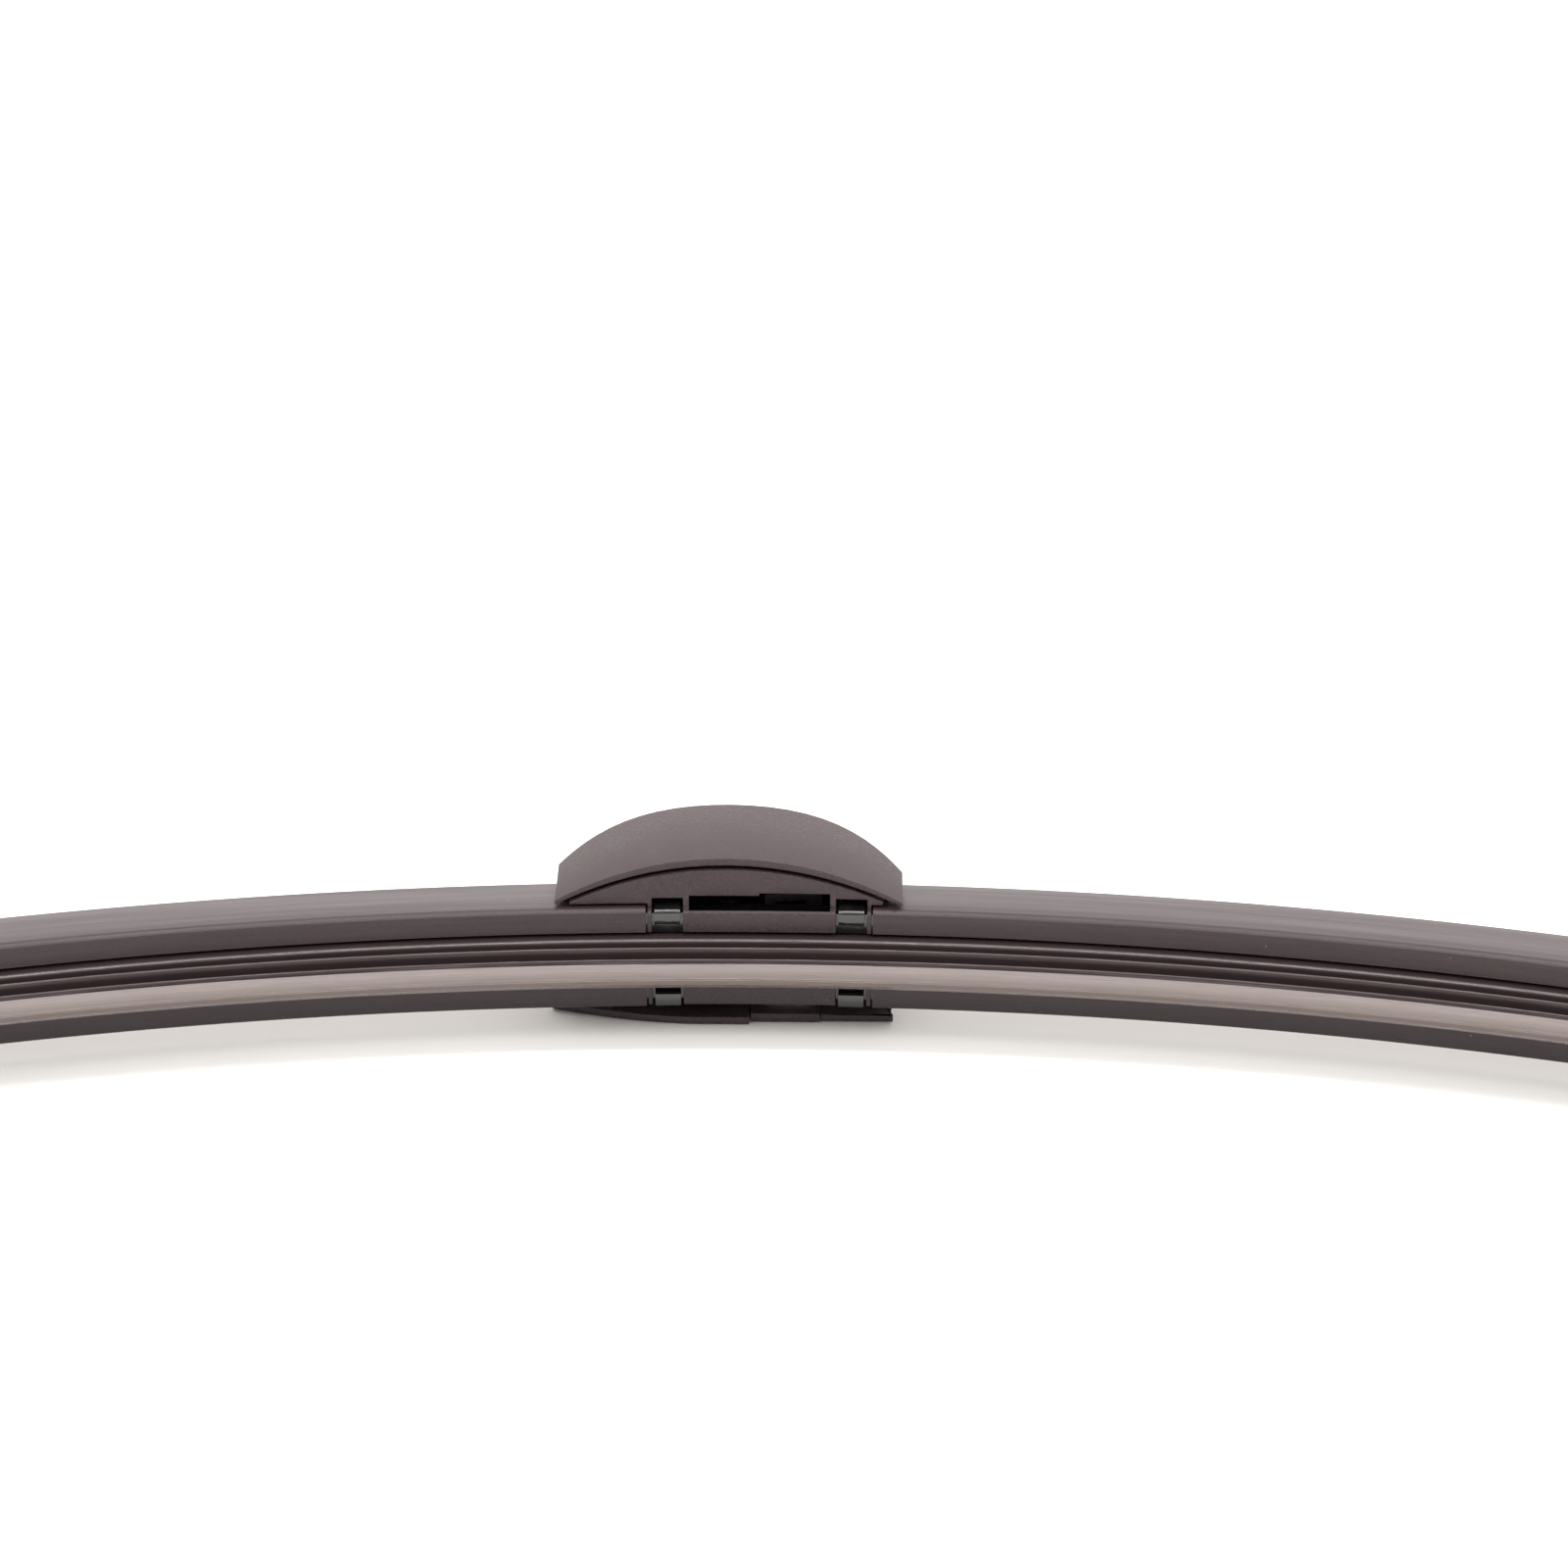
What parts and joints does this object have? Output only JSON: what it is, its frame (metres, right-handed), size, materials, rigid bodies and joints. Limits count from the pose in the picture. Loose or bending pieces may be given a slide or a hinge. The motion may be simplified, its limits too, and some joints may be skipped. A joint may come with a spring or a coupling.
{
  "type": "windshield wiper blade",
  "caption": "Flat beam windshield wiper blade: curved rubber on spring rails under a spoiler, gripped by a steel claw bracket with a rocking side-pin connector.",
  "frame": {"origin": "where the connector's rocking axis meets the plane that the blade lies on, which is the outer face of the connector's flat wall", "axes": "+X along the blade towards the connector's short end, +Y away from the glass towards the spoiler's back, +Z across the blade towards the spoiler's tall side; the blade lies on its side on Z=0"},
  "size_m": [0.4928, 0.0801, 0.0313],
  "materials": {
    "rubber": "satin graphite-coated rubber",
    "spoiler_plastic": "matte extruded plastic",
    "black_plastic": "fine-grained matte moulding",
    "black_painted_steel": "glossy black paint",
    "bare_steel": "satin",
    "nylon": "natural nylon"
  },
  "bodies": {
    "blade": {"wiper_rubber": "rubber", "spring_rail_a": "black_painted_steel", "spring_rail_b": "black_painted_steel", "spoiler_left": "spoiler_plastic", "spoiler_right": "spoiler_plastic", "end_cap_left": "black_plastic", "end_cap_right": "black_plastic", "end_clip_left": "bare_steel", "end_clip_right": "bare_steel", "claw_bracket": "black_painted_steel", "connector_base": "black_plastic", "pivot_pin": "bare_steel", "pivot_washer": "bare_steel"},
    "connector": {"adapter_cover": "black_plastic", "pin_insert": "black_plastic", "adapter_core": "black_plastic", "pivot_bush_a": "nylon", "pivot_bush_b": "nylon", "catch_spring": "bare_steel"},
    "catch": {"pin_catch": "black_plastic"}
  },
  "joints": [
    {"name": "connector_rock", "type": "hinge", "parent": "blade", "child": "connector", "pos_m": [0, 0, 0.013], "axis": [0, 0, 1], "range_deg": [-5, 5]},
    {"name": "catch_slide", "type": "slide", "parent": "connector", "child": "catch", "axis": [1, 0, 0], "range_m": [0, 0.0015], "stiffness_N_per_m": 600, "springref_m": -0.0005, "deforming": ["catch_spring"]}
  ]
}
